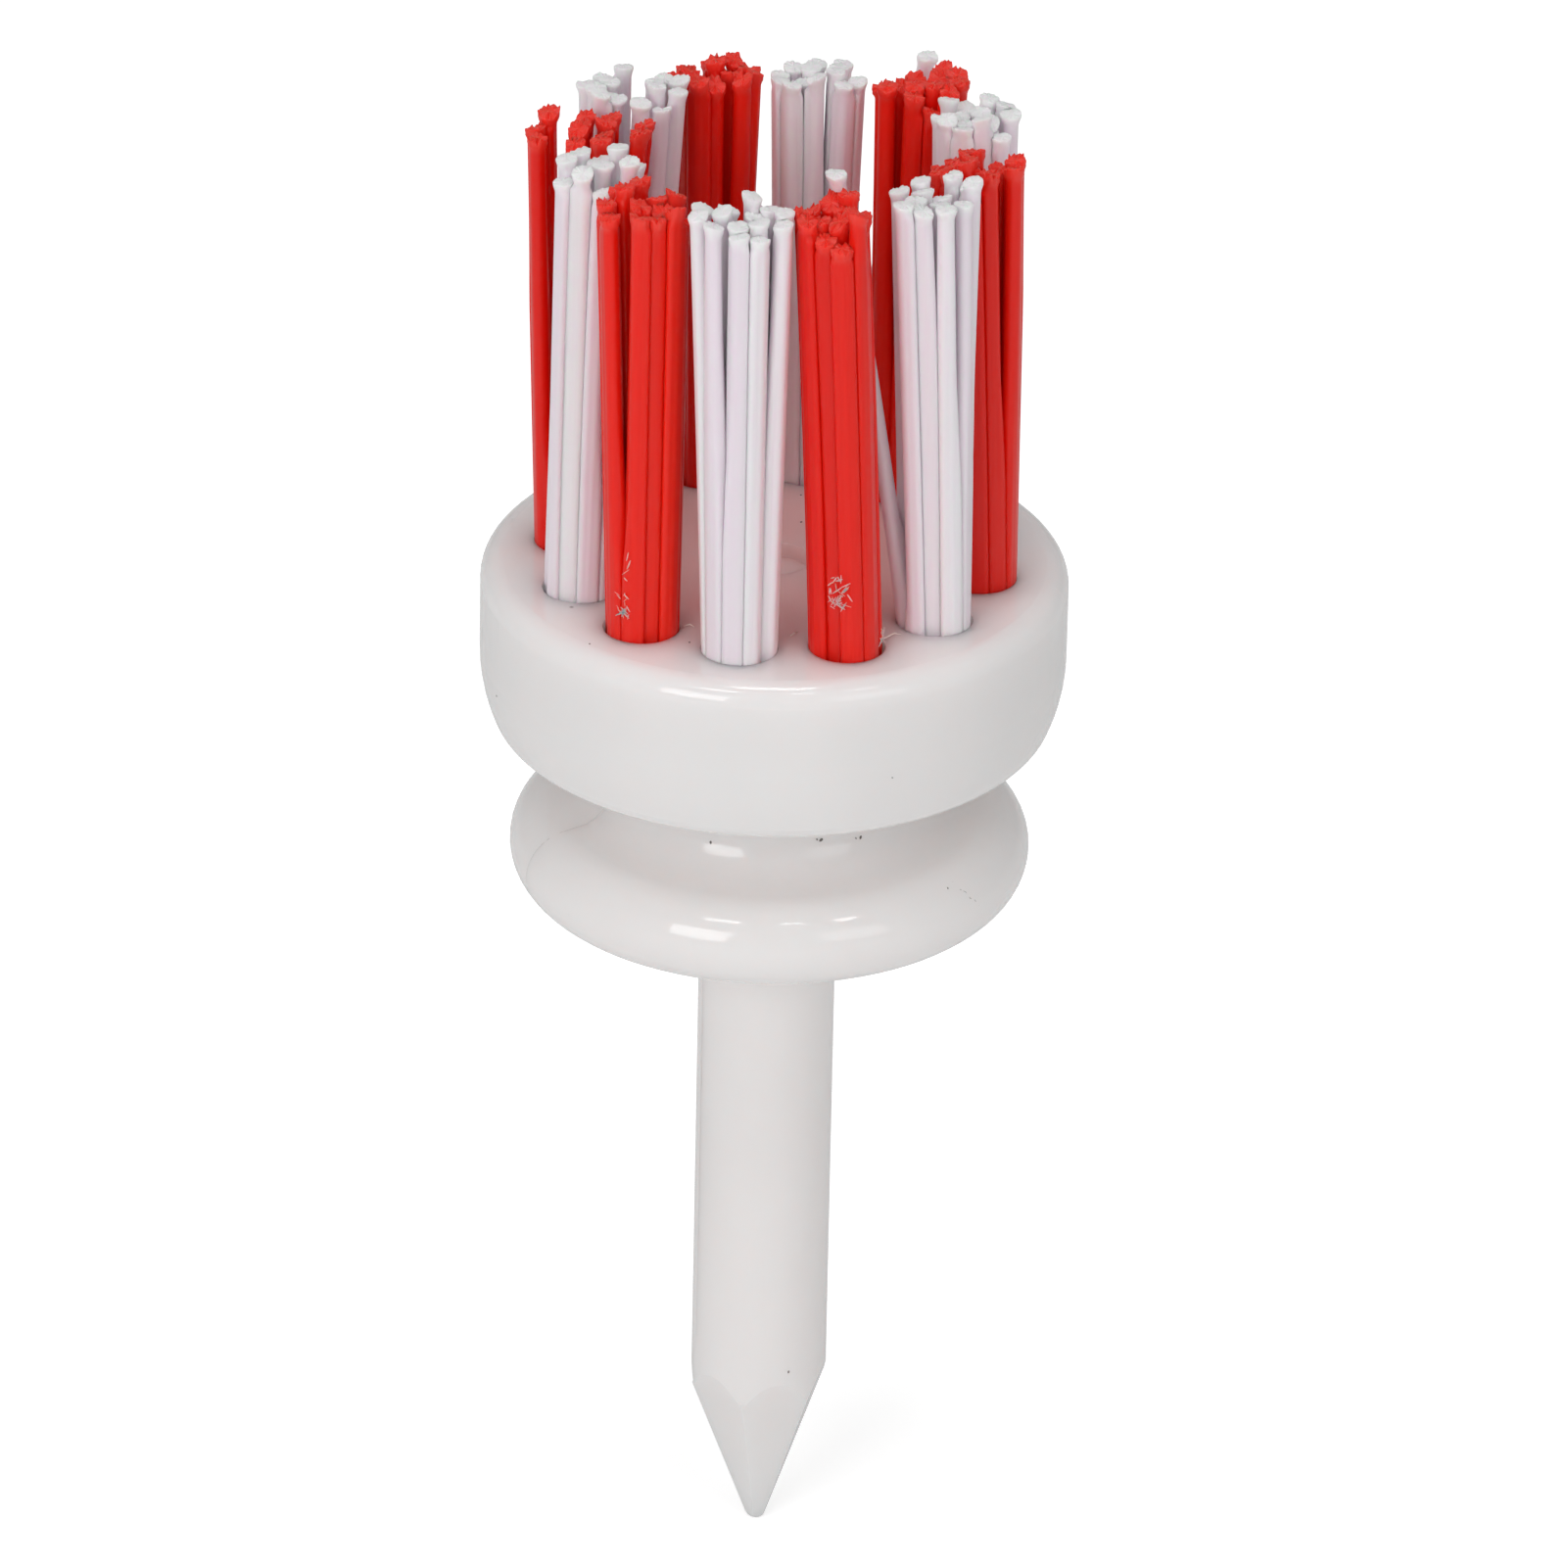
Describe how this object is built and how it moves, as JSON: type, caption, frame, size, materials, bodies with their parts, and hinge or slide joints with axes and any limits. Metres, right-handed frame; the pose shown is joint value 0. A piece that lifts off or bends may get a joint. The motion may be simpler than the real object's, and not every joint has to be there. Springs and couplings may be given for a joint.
{
  "type": "brush golf tee",
  "caption": "Golf tee with a pointed stem, a flange that stops on the turf and a round head carrying a ring of red and white bristle tufts that hold the ball.",
  "frame": {"origin": "centre of the flange's underside, on the stem's axis, where the turf surface comes", "axes": "+Z along the stem's axis, up towards the bristle tips; -Y through the first white tuft; +X through the fourth tuft"},
  "size_m": [0.021, 0.021, 0.0558],
  "materials": {
    "moulded_white": "smooth moulded gloss",
    "bristle_white": "drawn nylon filament, slightly translucent",
    "bristle_red": "drawn nylon filament, slightly translucent",
    "anchor_wire": "drawn flat wire"
  },
  "bodies": {
    "tee": {"tee_body": "moulded_white", "tuft_anchor_01": "anchor_wire", "tuft_anchor_02": "anchor_wire", "tuft_anchor_03": "anchor_wire", "tuft_anchor_04": "anchor_wire", "tuft_anchor_05": "anchor_wire", "tuft_anchor_06": "anchor_wire", "tuft_anchor_07": "anchor_wire", "tuft_anchor_08": "anchor_wire", "tuft_anchor_09": "anchor_wire", "tuft_anchor_10": "anchor_wire", "tuft_anchor_11": "anchor_wire", "tuft_anchor_12": "anchor_wire"},
    "tuft_01": {"white_tuft_01": "bristle_white"},
    "tuft_02": {"red_tuft_02": "bristle_red"},
    "tuft_03": {"white_tuft_03": "bristle_white"},
    "tuft_04": {"red_tuft_04": "bristle_red"},
    "tuft_05": {"white_tuft_05": "bristle_white"},
    "tuft_06": {"red_tuft_06": "bristle_red"},
    "tuft_07": {"white_tuft_07": "bristle_white"},
    "tuft_08": {"red_tuft_08": "bristle_red"},
    "tuft_09": {"white_tuft_09": "bristle_white"},
    "tuft_10": {"red_tuft_10": "bristle_red"},
    "tuft_11": {"white_tuft_11": "bristle_white"},
    "tuft_12": {"red_tuft_12": "bristle_red"}
  },
  "joints": [
    {"name": "tuft_01_flex", "type": "hinge", "parent": "tee", "child": "tuft_01", "pos_m": [0, -0.00735, 0.01534], "axis": [1, 0, 0], "range_deg": [0, 25], "stiffness_Nm_per_rad": 0.02, "deforming": ["white_tuft_01"]},
    {"name": "tuft_02_flex", "type": "hinge", "parent": "tee", "child": "tuft_02", "pos_m": [0.00367, -0.00636, 0.01534], "axis": [0.866, 0.5, 0], "range_deg": [0, 25], "stiffness_Nm_per_rad": 0.02, "deforming": ["red_tuft_02"]},
    {"name": "tuft_03_flex", "type": "hinge", "parent": "tee", "child": "tuft_03", "pos_m": [0.00636, -0.00367, 0.01534], "axis": [0.5, 0.866, 0], "range_deg": [0, 25], "stiffness_Nm_per_rad": 0.02, "deforming": ["white_tuft_03"]},
    {"name": "tuft_04_flex", "type": "hinge", "parent": "tee", "child": "tuft_04", "pos_m": [0.00735, 0, 0.01534], "axis": [0, 1, 0], "range_deg": [0, 25], "stiffness_Nm_per_rad": 0.02, "deforming": ["red_tuft_04"]},
    {"name": "tuft_05_flex", "type": "hinge", "parent": "tee", "child": "tuft_05", "pos_m": [0.00636, 0.00367, 0.01534], "axis": [-0.5, 0.866, 0], "range_deg": [0, 25], "stiffness_Nm_per_rad": 0.02, "deforming": ["white_tuft_05"]},
    {"name": "tuft_06_flex", "type": "hinge", "parent": "tee", "child": "tuft_06", "pos_m": [0.00367, 0.00636, 0.01534], "axis": [-0.866, 0.5, 0], "range_deg": [0, 25], "stiffness_Nm_per_rad": 0.02, "deforming": ["red_tuft_06"]},
    {"name": "tuft_07_flex", "type": "hinge", "parent": "tee", "child": "tuft_07", "pos_m": [0, 0.00735, 0.01534], "axis": [-1, 0, 0], "range_deg": [0, 25], "stiffness_Nm_per_rad": 0.02, "deforming": ["white_tuft_07"]},
    {"name": "tuft_08_flex", "type": "hinge", "parent": "tee", "child": "tuft_08", "pos_m": [-0.00367, 0.00636, 0.01534], "axis": [-0.866, -0.5, 0], "range_deg": [0, 25], "stiffness_Nm_per_rad": 0.02, "deforming": ["red_tuft_08"]},
    {"name": "tuft_09_flex", "type": "hinge", "parent": "tee", "child": "tuft_09", "pos_m": [-0.00636, 0.00367, 0.01534], "axis": [-0.5, -0.866, 0], "range_deg": [0, 25], "stiffness_Nm_per_rad": 0.02, "deforming": ["white_tuft_09"]},
    {"name": "tuft_10_flex", "type": "hinge", "parent": "tee", "child": "tuft_10", "pos_m": [-0.00735, 0, 0.01534], "axis": [0, -1, 0], "range_deg": [0, 25], "stiffness_Nm_per_rad": 0.02, "deforming": ["red_tuft_10"]},
    {"name": "tuft_11_flex", "type": "hinge", "parent": "tee", "child": "tuft_11", "pos_m": [-0.00636, -0.00367, 0.01534], "axis": [0.5, -0.866, 0], "range_deg": [0, 25], "stiffness_Nm_per_rad": 0.02, "deforming": ["white_tuft_11"]},
    {"name": "tuft_12_flex", "type": "hinge", "parent": "tee", "child": "tuft_12", "pos_m": [-0.00367, -0.00636, 0.01534], "axis": [0.866, -0.5, 0], "range_deg": [0, 25], "stiffness_Nm_per_rad": 0.02, "deforming": ["red_tuft_12"]}
  ]
}
